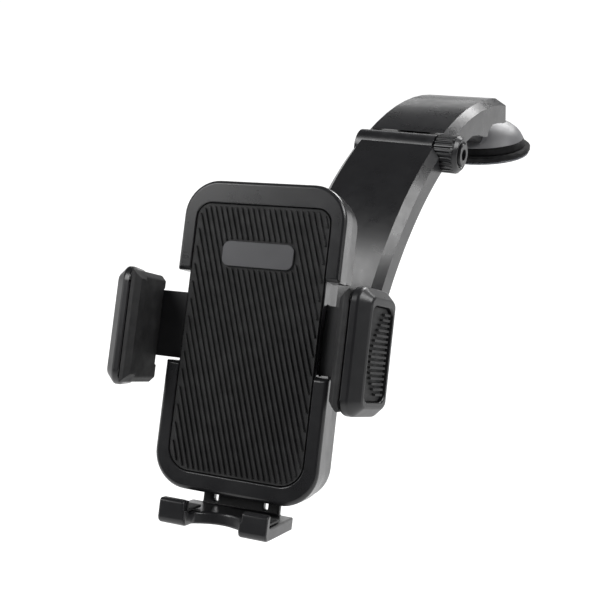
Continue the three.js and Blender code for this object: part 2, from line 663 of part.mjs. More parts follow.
// ---------------------------------------------------------------- cradle
// Outline of the cradle with the two side notches that the clamp arms leave through.
function cradleOutline(inset) {
  const half = plateHalfWidth - inset;
  const top = plateTop - inset;
  const bottom = plateBottom + inset;
  const r = plateCorner - inset;
  const notch = plateHalfWidth - notchDepth - inset;
  const outline = new THREE.Shape();
  outline.moveTo(notch, notchTop + inset);
  outline.lineTo(half, notchTop + inset);
  outline.absarc(half - r, top - r, r, 0, Math.PI / 2, false);
  outline.absarc(-half + r, top - r, r, Math.PI / 2, Math.PI, false);
  outline.lineTo(-half, notchTop + inset);
  outline.lineTo(-notch, notchTop + inset);
  outline.lineTo(-notch, notchBottom - inset);
  outline.lineTo(-half, notchBottom - inset);
  outline.absarc(-half + r, bottom + r, r, Math.PI, 1.5 * Math.PI, false);
  outline.absarc(half - r, bottom + r, r, 1.5 * Math.PI, 2 * Math.PI, false);
  outline.lineTo(half, notchBottom - inset);
  outline.lineTo(notch, notchBottom - inset);
  outline.closePath();
  return outline;
}

const screwX = plateHalfWidth - 10.8;
const screwSpots = [
  [-screwX, plateTop - 10.1], [screwX, plateTop - 10.1],
  [-screwX, plateBottom + 12.2], [screwX, plateBottom + 12.2],
];
const bracketPlateBack = 19.6;
const bracketPlateFront = 22;
const bracketHalf = 14.4;
const buttonTop = rackBottom - 2;
const buttonBottom = buttonTop - 9.3;
const buttonTravel = 2;
const buttonWindowX = -plateHalfWidth + 6.4 + buttonTravel;

function makeHousing() {
  const edge = 1.0;
  const face = new THREE.ExtrudeGeometry(cradleOutline(0), {
    depth: frontFaceN - splitN - gap - edge, bevelEnabled: true, bevelThickness: edge, bevelSize: edge,
    bevelOffset: -edge, bevelSegments: 1, curveSegments: 6,
  }).translate(0, 0, splitN + gap);
  let front = solid(face).intersect(box(-60, 60, -90, 90, splitN + gap, 60));
  const padPocket = alongZ(padOutline(-gap), frontFaceN - padInset, frontFaceN + 1);
  const inside = alongZ(cradleOutline(shellWall), splitN - 1, frontFaceN - padInset - 1.6);
  const rackRoomTop = clampPlaneN + clampPlateThickness + gap;
  const rackRoom = box(-60, 60, rackBottom - gap, rackTop + gap, clampPlaneN - gap, rackRoomTop);
  front = cut(front, padPocket, inside, rackRoom);
  // window for the release button at the lower left edge
  front = cut(front, box(-60, buttonWindowX, buttonBottom - gap, buttonTop + gap,
    splitN - 1, clampPlaneN + 4.6));
  for (const [x, u] of screwSpots) {
    const boss = cut(
      rod(3.4, splitN + gap, frontFaceN - 2.5, x, u),
      rod(1.4, splitN - 1, frontFaceN - 3.4, x, u));
    front = join(front, boss);
  }
  piece('front_frame', front, glossBlack, cradleFrame);

  const back = new THREE.ExtrudeGeometry(cradleOutline(0.6), {
    depth: splitN - rearFaceN - 2, bevelEnabled: true, bevelThickness: 2, bevelSize: 2, bevelOffset: -2,
    bevelSegments: 1, curveSegments: 6,
  }).translate(0, 0, rearFaceN + 2);
  let rear = solid(back).intersect(box(-60, 60, -90, 90, 0, splitN));
  rear = cut(rear, alongZ(cradleOutline(0.6 + shellWall), rearFaceN + 2.4, splitN + 1));
  // socket for the ball, split by four slots so the nut can squeeze it
  const socketBack = -0.54 * ballRadius;
  const socket = join(rod(socketRadius, socketBack, rearFaceN + 1), rod(nutRadius, 11, rearFaceN + 1));
  rear = join(rear, socket);
  rear = cut(rear, solid(new THREE.SphereGeometry(cavityRadius, 20, 10)),
    rod(cavityRadius * 0.9, -20, socketBack + 1));
  const slotHalf = 0.8;
  const slotTop = 0.7 * ballRadius;
  rear = cut(rear, box(-slotHalf, slotHalf, -30, 30, socketBack - 1, slotTop),
    box(-30, 30, -slotHalf, slotHalf, socketBack - 1, slotTop));
  // pinion post, foot slot, guides and screw bosses
  rear = join(rear, rod(2.2, rearFaceN + 1, clampPlaneN + clampPlateThickness, 0, pinionU));
  rear = cut(rear, box(-bracketHalf - gap, bracketHalf + gap, -80, plateBottom + 12,
    bracketPlateBack - gap, bracketPlateFront + gap));
  for (const sign of [-1, 1]) {
    const [x0, x1] = [sign * (bracketHalf + gap), sign * (bracketHalf + 2.3)].sort((a, b) => a - b);
    rear = join(rear, box(x0, x1, plateBottom + 4, -18, rearFaceN + 1, bracketPlateFront + 0.4));
  }
  for (const [x, u] of screwSpots) {
    rear = join(rear, rod(3.4, rearFaceN + 1, splitN, x, u));
    rear = cut(rear, rod(1.5, rearFaceN - 1, splitN + 1, x, u),
      rod(2.9, rearFaceN - 1, rearFaceN + 2.4, x, u));
  }
  rear = cut(rear, box(-60, buttonWindowX, buttonBottom - gap, buttonTop + gap, clampPlaneN - 4, splitN + 1));
  piece('rear_housing', rear, satinBlack, cradleFrame);

  screwSpots.forEach(([x, u], i) => {
    const frame = cradleFrame.clone().multiply(new THREE.Matrix4().makeTranslation(x, u, rearFaceN + 0.5));
    piece(`housing_screw_${i + 1}`, coneScrew(2.5, 1.5, 1.1, 14), steel, frame);
  });
}

// Outline of the centre pad, moved inward by an inset.
function padOutline(inset) {
  const half = padHalfWidth - inset;
  return roundedRectangle(-half, padBottom + inset, half, padTop - inset,
    padTopCorner - inset, padBottomCorner - inset);
}

const badgeHalf = 13;
const badgeTop = 29;
const badgeBottom = 20.4;
const badgeCorner = 2.6;

function makePad() {
  const floor = frontFaceN - 0.2;
  const ribFoot = floor - 0.2;
  const ribTop = frontFaceN + padProud;
  const plate = alongZ(padOutline(0), frontFaceN - padInset + gap, floor);

  // sloping ribs, kept inside a plain border and away from the badge
  const field = alongZ(padOutline(1.2), ribFoot, ribTop);
  const room = 0.8;
  const badgeRoom = alongZ(roundedRectangle(-badgeHalf - room, badgeBottom - room, badgeHalf + room,
    badgeTop + room, badgeCorner + room), 0, 60, 4);
  const centreU = (padTop + padBottom) / 2;
  const half = (padTop - padBottom) / 2;
  const slant = half * Math.tan(radians(ribLean));
  const reach = padHalfWidth + slant;
  const ribWidth = ribPitch * 0.38;
  let ribs = alongZ(padOutline(1.2), ribFoot, floor);
  for (let x = -reach; x < reach; x += ribPitch) {
    const rib = polygon([[x + slant, centreU - half], [x + slant + ribWidth, centreU - half],
      [x - slant + ribWidth, centreU + half], [x - slant, centreU + half]]);
    ribs = ribs.add(alongZ(rib, ribFoot, ribTop));
  }
  piece('centre_pad', join(plate, cut(ribs.intersect(field), badgeRoom)), softRubber, cradleFrame);
  const badgeOutline = roundedRectangle(-badgeHalf, badgeBottom, badgeHalf, badgeTop, badgeCorner);
  piece('blank_badge', alongZ(badgeOutline, floor + gap, ribTop, 4), badgeGrey, cradleFrame);
}

// ---------------------------------------------------------------- clamps
const toothPitch = (2 * Math.PI * pinionPitchRadius) / pinionTeeth;
const toothHeight = 1.0;
const toothRoot = 1.4;

// Rack plate of the left clamp: a tall tab outside, a toothed strip inside with room for the other strip.
function rackOutline() {
  const stripEnd = 13;
  const tabEdge = -15;
  const slotEnd = -25;
  const rootLine = pinionU + pinionPitchRadius + toothRoot;
  const tipLine = pinionU + pinionPitchRadius - toothHeight;
  const stripTop = rootLine + 3.5;
  const otherTop = pinionU - pinionPitchRadius - toothRoot;
  const slotTop = 2 * pinionU - tipLine + gap;
  const outerEdge = -jawInner - 1.2;
  const points = [[outerEdge, rackBottom], [outerEdge, rackTop], [tabEdge, rackTop],
    [tabEdge, stripTop], [stripEnd, stripTop], [stripEnd, rootLine]];
  const flank = toothPitch * 0.12;
  const land = toothPitch * 0.5 - gap;
  const first = Math.floor(stripEnd / toothPitch);
  for (let k = first; k * toothPitch - land / 2 - flank > tabEdge + 1; k -= 1) {
    const middle = k * toothPitch;
    if (middle + land / 2 + flank > stripEnd) continue;
    points.push([middle + land / 2 + flank, rootLine], [middle + land / 2 - flank, tipLine],
      [middle - land / 2 + flank, tipLine], [middle - land / 2 - flank, rootLine]);
  }
  points.push([tabEdge, rootLine], [tabEdge, slotTop], [slotEnd, slotTop],
    [slotEnd, otherTop - 3.5 - gap], [tabEdge, otherTop - 3.5 - gap], [tabEdge, rackBottom]);
  return points;
}

// The right clamp is the left one turned half a turn about the pinion.
function turnedAboutPinion(points) {
  return points.map(([x, u]) => [-x, 2 * pinionU - u]);
}

function pinionSolid() {
  const outline = new THREE.Shape();
  const rootRadius = pinionPitchRadius - toothRoot;
  const tipRadius = pinionPitchRadius + toothHeight;
  const step = (2 * Math.PI) / pinionTeeth;
  const toothAngle = step * 0.5 - gap / pinionPitchRadius;
  for (let i = 0; i < pinionTeeth; i += 1) {
    const middle = Math.PI / 2 + (i + 0.5) * step;
    const corners = [[rootRadius, -0.62], [tipRadius, -0.27], [tipRadius, 0.27], [rootRadius, 0.62]];
    corners.forEach(([radius, share], k) => {
      const angle = middle + share * toothAngle;
      const point = [radius * Math.cos(angle), pinionU + radius * Math.sin(angle)];
      if (i === 0 && k === 0) outline.moveTo(...point);
      else outline.lineTo(...point);
    });
  }
  outline.closePath();
  return cut(alongZ(outline, clampPlaneN, clampPlaneN + clampPlateThickness),
    rod(2.2 + gap, 0, 60, 0, pinionU));
}

// jaw seen from the front: depth across, height along u, length along n
const jawBackN = 27.6;
const jawFrontN = 49;
const jawDepth = 5.6;
const jawFlare = 0.27;                 // the outer face leans outwards towards the back
const gripRecess = 2.2;

// Puts (u, n, outward) into the cradle's (x, u, n), a distance out from the jaw's inner face.
function jawPlace(distance) {
  return new THREE.Matrix4().set(
    0, -jawFlare, 1, jawInner + jawFlare * jawFrontN + distance,
    1, 0, 0, 0,
    0, 1, 0, 0,
    0, 0, 0, 1);
}

// Outline of the grip field, moved inward by an inset.
function gripOutline(inset) {
  return roundedRectangle(jawBottom + 5 + inset, jawBackN + 4.4 + inset, jawTop - 5.5 - inset,
    jawFrontN - 4 - inset, 3 - inset);
}

// Outer shell of a jaw for the right side; the left one is its mirror image.
function jawShell() {
  const bevel = 3.2;
  const outline = roundedRectangle(jawBottom, jawBackN, jawTop, jawFrontN, 5.5);
  const block = new THREE.ExtrudeGeometry(outline, {
    depth: jawDepth - bevel, bevelEnabled: true, bevelThickness: bevel, bevelSize: bevel, bevelOffset: -bevel,
    bevelSegments: 1, curveSegments: 6,
  });
  const outwards = box(jawInner, jawInner + 40, -60, 60, 0, 80);
  let shell = solid(block.applyMatrix4(jawPlace(0))).intersect(outwards);
  const skim = 0.3;
  const inner = box(jawInner - 1, jawInner + 0.01, jawBottom + skim, jawTop - skim,
    jawBackN + skim, jawFrontN - 2.5);
  shell = cut(shell, inner);
  // dished grip field in the outer face
  const pocket = extruded(gripOutline(0), 20, 4).applyMatrix4(jawPlace(jawDepth - gripRecess));
  return cut(shell, solid(pocket));
}

// Ribbed insert in the grip field; the ribs grow longer towards the middle.
function jawGrip() {
  const place = jawPlace(jawDepth - gripRecess);
  const sheet = 0.5;
  const plate = extruded(gripOutline(gap), sheet, 4).translate(0, 0, gap).applyMatrix4(place);
  let grip = solid(plate);
  const ribs = 16;
  const ribWidth = 0.75;
  const ribHeight = 1.3;
  const bottom = jawBottom + 6.6;
  const top = jawTop - 7.0;
  for (let i = 0; i < ribs; i += 1) {
    const share = (i + 0.5) / ribs;
    const length = 3.2 + 6.4 * Math.sin(Math.PI * Math.pow(share, 0.8));
    const rib = new THREE.BoxGeometry(ribWidth, length, ribHeight);
    rib.translate(bottom + share * (top - bottom), jawBackN + 5.4 + length / 2, gap + ribHeight / 2 + 0.2);
    grip = join(grip, solid(rib.applyMatrix4(place)));
  }
  return grip;
}

function jawPad() {
  const back = jawBackN + 0.6;
  const front = jawFrontN;
  const lipX = phoneHalfWidth - 0.9;
  const faceX = phoneHalfWidth + 0.2;
  const outer = jawInner - gap;
  const outline = polygon([[back, faceX], [phoneFrontN + 0.6, faceX], [phoneFrontN + 1.7, lipX],
    [front - 1.5, lipX], [front, lipX + 1.5], [front, outer], [back, outer]]);
  const body = alongY(outline, jawBottom + 1.2, jawTop - 1.2);
  const corner = 4;
  const cornerCut = (edge, inward) => alongZ(polygon([
    [lipX - 1, edge + inward * (1.2 + corner)], [lipX + corner, edge], [lipX - 1, edge]]), 0, 80);
  return cut(body, cornerCut(jawTop, -1), cornerCut(jawBottom, 1));
}

function makeClamps() {
  const plateBack = clampPlaneN;
  const plateFront = clampPlaneN + clampPlateThickness;
  const mirrorX = new THREE.Matrix4().makeScale(-1, 1, 1);
  const left = rackOutline();
  const rackLeft = alongZ(polygon(left), plateBack, plateFront);
  const rackRight = alongZ(polygon(turnedAboutPinion(left)), plateBack, plateFront);
  // the jaw shell and pad wrap round the end of the rack plate
  const tail = (sign) => {
    const [x0, x1] = [sign * (jawInner - 5), sign * (jawInner + 3)].sort((a, b) => a - b);
    return box(x0, x1, rackBottom - 3 - gap, rackTop + gap, plateBack - gap, plateFront + gap);
  };
  const mirrored = (body) => solid(geometryOf(body).applyMatrix4(mirrorX));
  const shell = jawShell();
  const grip = jawGrip();
  const pad = jawPad();
  piece('rack_left', rackLeft, innerPlastic, cradleFrame);
  piece('rack_right', rackRight, innerPlastic, cradleFrame);
  piece('jaw_shell_left', cut(mirrored(shell), tail(-1)), satinBlack, cradleFrame);
  piece('jaw_shell_right', cut(shell, tail(1)), satinBlack, cradleFrame);
  piece('jaw_pad_left', cut(mirrored(pad), tail(-1)), softRubber, cradleFrame);
  piece('jaw_pad_right', cut(pad, tail(1)), softRubber, cradleFrame);
  piece('jaw_grip_left', mirrored(grip), softRubber, cradleFrame);
  piece('jaw_grip_right', grip, softRubber, cradleFrame);
  piece('clamp_pinion', pinionSolid(), acetal, cradleFrame);

  const buttonIn = -plateHalfWidth + 6.1;
  const button = join(
    alongX(roundedRectangle(buttonBottom, clampPlaneN - 3.6, buttonTop, clampPlaneN + 4.2, 1.6, 1.6),
      -plateHalfWidth - 0.2, buttonIn),
    box(buttonIn - 0.5, buttonIn + 6, buttonBottom + 3, buttonBottom + 6, clampPlaneN, clampPlaneN + 2.4),
    box(buttonIn + 3, buttonIn + 6, buttonBottom + 3, buttonBottom + 8.2, clampPlaneN, clampPlaneN + 2.4));
  piece('release_button', button, innerPlastic, cradleFrame);
  piece('pinion_spring', springSolid(), steel, cradleFrame);
}

// Torsion spring round the pinion's post.
class Helix extends THREE.Curve {
  constructor(radius, turns, z0, z1) {
    super();
    Object.assign(this, { radius, turns, z0, z1 });
  }

  getPoint(t, target = new THREE.Vector3()) {
    const angle = 2 * Math.PI * this.turns * t;
    return target.set(this.radius * Math.cos(angle), pinionU + this.radius * Math.sin(angle),
      this.z0 + (this.z1 - this.z0) * t);
  }
}

function springSolid() {
  const turns = 3;
  const wire = new THREE.Shape();
  wire.absarc(0, 0, 0.4, 0, 2 * Math.PI, false);
  const path = new Helix(3.1, turns, rearFaceN + 3.4, clampPlaneN - 1.0);
  return solid(new THREE.ExtrudeGeometry(wire, { steps: turns * 12, extrudePath: path, curveSegments: 3 }));
}

// ---------------------------------------------------------------- foot bracket
function makeFeet() {
  const hookInner = 9.4;
  const hookOuter = 19.1;
  const shelfTop = footShelfU;
  const shelfBottom = shelfTop - 4.1;
  const lipTop = shelfTop + 4.2;
  const hookFront = 46;
  const plateUp = -22;
  const webFront = 36;
  const plate = box(-bracketHalf, bracketHalf, shelfTop - 1, plateUp, bracketPlateBack, bracketPlateFront);
  // cross bar under the plate with a hollowed front edge
  const bar = new THREE.Shape();
  bar.moveTo(-hookOuter, bracketPlateBack);
  bar.lineTo(hookOuter, bracketPlateBack);
  bar.lineTo(hookOuter, webFront + 3);
  bar.lineTo(hookInner, webFront + 3);
  bar.quadraticCurveTo(0, webFront - 7, -hookInner, webFront + 3);
  bar.lineTo(-hookOuter, webFront + 3);
  bar.closePath();
  const barTurn = new THREE.Matrix4().makeBasis(
    new THREE.Vector3(1, 0, 0), new THREE.Vector3(0, 0, 1), new THREE.Vector3(0, -1, 0));
  const barGeometry = extruded(bar, shelfTop - shelfBottom, 8).applyMatrix4(barTurn);
  let body = join(plate, solid(barGeometry.translate(0, shelfTop, 0)));
  for (const sign of [-1, 1]) {
    const [x0, x1] = [sign * hookInner, sign * hookOuter].sort((a, b) => a - b);
    // hook seen from the side: shelf, rounded front corner and upturned lip
    const hook = new THREE.Shape();
    hook.moveTo(shelfTop, webFront);
    hook.lineTo(shelfTop, hookFront - 3);
    hook.lineTo(lipTop, hookFront - 3);
    hook.lineTo(lipTop, hookFront - 0.8);
    hook.lineTo(lipTop - 0.8, hookFront);
    hook.lineTo(shelfBottom + 2.5, hookFront);
    hook.absarc(shelfBottom + 2.5, hookFront - 2.5, 2.5, Math.PI / 2, Math.PI, false);
    hook.lineTo(shelfBottom, webFront);
    hook.closePath();
    body = join(body, alongX(hook, x0, x1, 5));
    const slotX = sign * 9.4;
    body = cut(body, box(slotX - 0.8, slotX + 0.8, shelfTop + 1.2, shelfTop + 9, 0, 60));
  }
  piece('foot_bracket', body, satinBlack, cradleFrame);
  for (const [side, sign] of [['left', -1], ['right', 1]]) {
    const [x0, x1] = [sign * (hookInner + 0.8), sign * (hookOuter - 0.8)].sort((a, b) => a - b);
    const padU = shelfTop + gap;
    const skin = 0.9;
    const lipBack = hookFront - 3 - gap;
    const outline = polygon([[padU, webFront - 4], [padU + skin, webFront - 4], [padU + skin, lipBack - skin],
      [lipTop - 0.4, lipBack - skin], [lipTop - 0.4, lipBack], [padU, lipBack]]);
    piece(`foot_pad_${side}`, alongX(outline, x0, x1), softRubber, cradleFrame);
  }
}

makeBase();
makeUpperArm();
makeLowerArm();
makeElbow();
makeBallStud();
makeSocketParts();
makeHousing();
makePad();
makeClamps();
makeFeet();

export default mount;
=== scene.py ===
"""Looks for the car phone mount: camera, studio, materials and the finished outer pieces.

Metres, in the row frame. The cradle's own frame is x right, u up and n towards the phone,
measured from the ball's centre.
"""
import json
import math

import bmesh
import bpy
from mathutils import Matrix, Vector


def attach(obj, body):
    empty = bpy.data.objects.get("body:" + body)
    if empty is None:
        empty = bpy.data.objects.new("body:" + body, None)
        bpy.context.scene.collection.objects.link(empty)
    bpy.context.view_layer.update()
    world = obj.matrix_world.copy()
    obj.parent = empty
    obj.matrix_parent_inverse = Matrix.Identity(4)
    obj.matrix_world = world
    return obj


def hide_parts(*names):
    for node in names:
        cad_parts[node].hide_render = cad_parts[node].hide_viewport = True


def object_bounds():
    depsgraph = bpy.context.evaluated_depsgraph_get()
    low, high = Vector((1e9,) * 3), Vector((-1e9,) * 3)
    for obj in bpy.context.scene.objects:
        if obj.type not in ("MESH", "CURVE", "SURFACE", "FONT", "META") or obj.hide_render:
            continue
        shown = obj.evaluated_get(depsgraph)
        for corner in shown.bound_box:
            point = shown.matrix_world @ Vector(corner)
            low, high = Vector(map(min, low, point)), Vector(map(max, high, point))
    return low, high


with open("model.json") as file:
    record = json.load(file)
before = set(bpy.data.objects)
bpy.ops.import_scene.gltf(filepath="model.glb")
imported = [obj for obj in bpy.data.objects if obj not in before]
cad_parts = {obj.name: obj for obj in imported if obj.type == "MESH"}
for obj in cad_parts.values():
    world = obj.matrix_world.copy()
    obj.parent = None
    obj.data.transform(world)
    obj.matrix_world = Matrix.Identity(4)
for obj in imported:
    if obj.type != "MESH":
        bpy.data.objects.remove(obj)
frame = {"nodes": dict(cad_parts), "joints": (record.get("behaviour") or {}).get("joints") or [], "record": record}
cad_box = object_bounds()

MM = 0.001
NODES = frame["nodes"]
BODIES = frame["record"]["behaviour"]["bodies"]
SUBPARTS = frame["record"]["subparts"]
BODY_OF = {node: body for body, members in BODIES.items() for node in members}
SLOT_OF = {part["node"]: part["material_slot"] for part in SUBPARTS}
JOINTS = {joint["name"]: joint for joint in frame["joints"]}

# ------------------------------------------------------------------ camera
CAMERA_PLACE = Vector((0.15613, -0.4423, 0.1288))
CAMERA_RIGHT = Vector((0.8564, 0.5129, -0.0592))
CAMERA_UP = Vector((-0.1719, 0.3913, 0.9041))


def make_camera():
    """The photograph's camera, which looks along its own -z axis."""
    data = bpy.data.cameras.new("camera")
    data.lens = 50
    data.sensor_width = 36
    data.clip_start = 0.01
    camera = bpy.data.objects.new("camera", data)
    bpy.context.scene.collection.objects.link(camera)
    back = CAMERA_RIGHT.cross(CAMERA_UP).normalized()
    up = back.cross(CAMERA_RIGHT).normalized()
    place = Matrix((CAMERA_RIGHT, up, back)).transposed().to_4x4()
    place.translation = CAMERA_PLACE
    camera.matrix_world = place
    bpy.context.scene.camera = camera


# ------------------------------------------------------------------ studio
MOUNT_MIDDLE = (0.0, -0.15, 0.0)
BASE_MIDDLE = (0.0, -0.02, 0.02)
SUN_ANGLE = 36
SUN_DIRECTION = (0.44, 0.52, -0.75)
# far enough down that the cradle clears the floor when the arm swings below the base
FLOOR_DROP = 0.28
FLOOR_REACH = 40.0
FLOOR_GLOW = 0.95


def make_area(name, place, watts, width, height=None, target=MOUNT_MIDDLE):
    """A square softbox, or an oblong one if it has a height, aimed at a target."""
    data = bpy.data.lights.new(name, "AREA")
    data.energy = watts
    data.size = width
    if height:
        data.shape = "RECTANGLE"
        data.size_y = height
    light = bpy.data.objects.new(name, data)
    bpy.context.scene.collection.objects.link(light)
    light.location = place
    aim = Vector(target) - Vector(place)
    light.rotation_euler = aim.to_track_quat("-Z", "Y").to_euler()


def make_world(scene):
    world = bpy.data.worlds.new("studio")
    world.use_nodes = True
    background = world.node_tree.nodes["Background"]
    background.inputs["Color"].default_value = (0.93, 0.94, 0.96, 1)
    background.inputs["Strength"].default_value = 0.10
    scene.world = world


def make_sun(scene):
    sun = bpy.data.lights.new("soft_sun", "SUN")
    sun.energy = 0.9
    sun.angle = math.radians(SUN_ANGLE)
    lamp = bpy.data.objects.new("soft_sun", sun)
    scene.collection.objects.link(lamp)
    lamp.rotation_euler = Vector(SUN_DIRECTION).to_track_quat("-Z", "Y").to_euler()


def make_floor(scene):
    """A pale, evenly lit floor that is not part of the object."""
    floor_z = cad_box[0][2] - FLOOR_DROP
    corners = ((-1, -1), (1, -1), (1, 1), (-1, 1))
    mesh = bpy.data.meshes.new("floor")
    points = [(FLOOR_REACH * x, FLOOR_REACH * y, floor_z) for x, y in corners]
    mesh.from_pydata(points, [], [(0, 1, 2, 3)])
    floor = bpy.data.objects.new("floor", mesh)
    scene.collection.objects.link(floor)
    paint = bpy.data.materials.new("floor_paint")
    paint.use_nodes = True
    shader = paint.node_tree.nodes["Principled BSDF"]
    shader.inputs["Base Color"].default_value = (0.3, 0.3, 0.3, 1)
    shader.inputs["Roughness"].default_value = 0.9
    shader.inputs["Specular IOR Level"].default_value = 0.1
    shader.inputs["Emission Color"].default_value = (1, 1, 1, 1)
    shader.inputs["Emission Strength"].default_value = FLOOR_GLOW
    mesh.materials.append(paint)


def make_studio():
    scene = bpy.context.scene
    scene.view_settings.view_transform = "Standard"
    make_world(scene)
    make_sun(scene)
    make_area("top_box", (-0.46, -0.68, 0.72), watts=3.4, width=0.42, height=0.5)
    make_area("key_box", (-0.95, -0.75, 0.35), watts=1.2, width=0.5)
    make_area("rear_box", (0.14, 0.95, 0.66), watts=11, width=0.5, height=0.45, target=BASE_MIDDLE)
    make_area("rim_box", (0.76, 0.02, 0.66), watts=4.7, width=0.5, height=0.3)
    make_area("side_box", (0.95, -0.22, 0.14), watts=0.4, width=0.3)
    make_area("back_strip", (-0.45, 1.0, 0.28), watts=1.0, width=1.0, height=0.25)
    make_floor(scene)


# ------------------------------------------------------------------ materials
COLOUR_A = 6                           # the colour sockets of a Mix node, by their index
COLOUR_B = 7
COLOUR_OUT = 2
EDGE_START = 0.58                      # pointiness at which edge wear starts, and is full
EDGE_FULL = 0.68


class Look:
    """A material under construction, in row coordinates (metres)."""

    def __init__(self, name):
        self.material = bpy.data.materials.new(name)
        self.material.use_nodes = True
        self.nodes = self.material.node_tree.nodes
        self.links = self.material.node_tree.links
        self.shader = self.nodes["Principled BSDF"]
        self.place = self.nodes.new("ShaderNodeTexCoord").outputs["Object"]

    def set(self, **values):
        for name, value in values.items():
            self.shader.inputs[name.replace("_", " ")].default_value = value

    def noise(self, grain_mm, detail, stretch=None):
        """Noise whose lumps are about grain_mm across; stretch scales the three axes first."""
        node = self.nodes.new("ShaderNodeTexNoise")
        node.inputs["Scale"].default_value = 1 / (grain_mm * MM)
        node.inputs["Detail"].default_value = detail
        source = self.place
        if stretch:
            mapping = self.nodes.new("ShaderNodeMapping")
            mapping.inputs["Scale"].default_value = stretch
            self.links.new(source, mapping.inputs["Vector"])
            source = mapping.outputs["Vector"]
        self.links.new(source, node.inputs["Vector"])
        return node.outputs["Fac"]

    def ramp(self, source, low, high, start=0.3, end=0.7):
        """Maps the stretch from start to end onto the range from low to high."""
        node = self.nodes.new("ShaderNodeMapRange")
        node.inputs["From Min"].default_value = start
        node.inputs["From Max"].default_value = end
        node.inputs["To Min"].default_value = low
        node.inputs["To Max"].default_value = high
        self.links.new(source, node.inputs["Value"])
        return node.outputs["Result"]

    def combine(self, operation, a, b, clamp=False):
        node = self.nodes.new("ShaderNodeMath")
        node.operation = operation
        node.use_clamp = clamp
        self.links.new(a, node.inputs[0])
        self.links.new(b, node.inputs[1])
        return node.outputs[0]

    def edges(self):
        """0 on flat stretches and 1 along worn outer edges, broken up by noise."""
        geometry = self.nodes.new("ShaderNodeNewGeometry")
        rim = self.ramp(geometry.outputs["Pointiness"], 0, 1, EDGE_START, EDGE_FULL)
        patches = self.ramp(self.noise(6, 4), 0, 1, 0.42, 0.62)
        return self.combine("MULTIPLY", rim, patches, clamp=True)

    def blend(self, share, colour_a, colour_b):
        """Mixes two colours, each a tuple or another node's output."""
        node = self.nodes.new("ShaderNodeMix")
        node.data_type = "RGBA"
        for socket, colour in ((COLOUR_A, colour_a), (COLOUR_B, colour_b)):
            if isinstance(colour, tuple):
                node.inputs[socket].default_value = (*colour, 1)
            else:
                self.links.new(colour, node.inputs[socket])
        self.links.new(share, node.inputs[0])
        return node.outputs[COLOUR_OUT]

    def bump(self, height, depth_mm, before=None):
        """A normal tilted by a height, on top of the bump that comes before it."""
        node = self.nodes.new("ShaderNodeBump")
        node.inputs["Strength"].default_value = 1.0
        node.inputs["Distance"].default_value = depth_mm * MM
        self.links.new(height, node.inputs["Height"])
        if before:
            self.links.new(before, node.inputs["Normal"])
        return node.outputs["Normal"]

    def wire(self, name, source):
        self.links.new(source, self.shader.inputs[name])


def moulded_plastic(name, colour, roughness, grain_mm, grain_depth, worn, coat=0.0):
    """Moulded plastic: fine grain if it has a depth, broad sheen changes, and paler worn edges."""
    look = Look(name)
    look.set(IOR=1.5, Coat_Weight=coat, Coat_Roughness=0.12)
    pale = tuple(min(1, c * 2.4 + 0.02) for c in colour)
    cloudy = tuple(c * 1.25 for c in colour)
    body = look.blend(look.ramp(look.noise(14, 2), 0, 1), colour, cloudy)
    edge = look.ramp(look.edges(), 0, worn, 0, 1)
    look.wire("Base Color", look.blend(edge, body, pale))
    sheen = look.ramp(look.noise(9, 4), roughness * 0.88, roughness * 1.14)
    speck = look.ramp(look.noise(3.0, 1), -0.02, 0.02)
    look.wire("Roughness", look.combine("ADD", sheen, speck))
    surface = look.bump(look.noise(12, 1), 0.006)
    if grain_depth:
        surface = look.bump(look.noise(grain_mm, 2), grain_depth, before=surface)
    look.wire("Normal", surface)
    return look.material


def soft_rubber(name, colour, roughness, shine=0.5):
    """Rubber: matt, fine-grained, with dusty high spots."""
    look = Look(name)
    look.set(IOR=1.45, Specular_IOR_Level=shine, Sheen_Weight=0.03, Sheen_Roughness=0.5)
    dusty = tuple(c + 0.012 for c in colour)
    patches = look.ramp(look.noise(5, 5), 0, 0.8, 0.4, 0.68)
    body = look.blend(patches, colour, dusty)
    edge = look.ramp(look.edges(), 0, 0.5, 0, 1)
    look.wire("Base Color", look.blend(edge, body, tuple(c * 2 + 0.02 for c in colour)))
    look.wire("Roughness", look.ramp(look.noise(3, 4), roughness - 0.08, roughness + 0.08))
    look.wire("Normal", look.bump(look.noise(0.25, 2), 0.004))
    return look.material


def metal(name, colour):
    """Turned or drawn metal with fine tool lines."""
    tool_lines = (1, 12, 12)
    look = Look(name)
    look.set(Metallic=1.0, Anisotropic=0.3)
    dull = tuple(c * 0.7 for c in colour)
    tarnish = look.ramp(look.noise(3, 4), 0, 1, 0.35, 0.7)
    look.wire("Base Color", look.blend(tarnish, colour, dull))
    look.wire("Roughness", look.ramp(look.noise(1.2, 3, tool_lines), 0.20, 0.42))
    look.wire("Normal", look.bump(look.noise(0.6, 2, tool_lines), 0.006))
    return look.material


def clear_gel(name):
    """Tacky gel: smooth and slightly see-through."""
    look = Look(name)
    look.set(IOR=1.42, Transmission_Weight=0.25, Coat_Weight=0.3)
    patches = look.ramp(look.noise(4, 3), 0, 1)
    look.wire("Base Color", look.blend(patches, (0.10, 0.105, 0.12), (0.15, 0.155, 0.17)))
    look.wire("Roughness", look.ramp(look.noise(2, 3), 0.18, 0.34))
    look.wire("Normal", look.bump(look.noise(1.5, 2), 0.03))
    return look.material


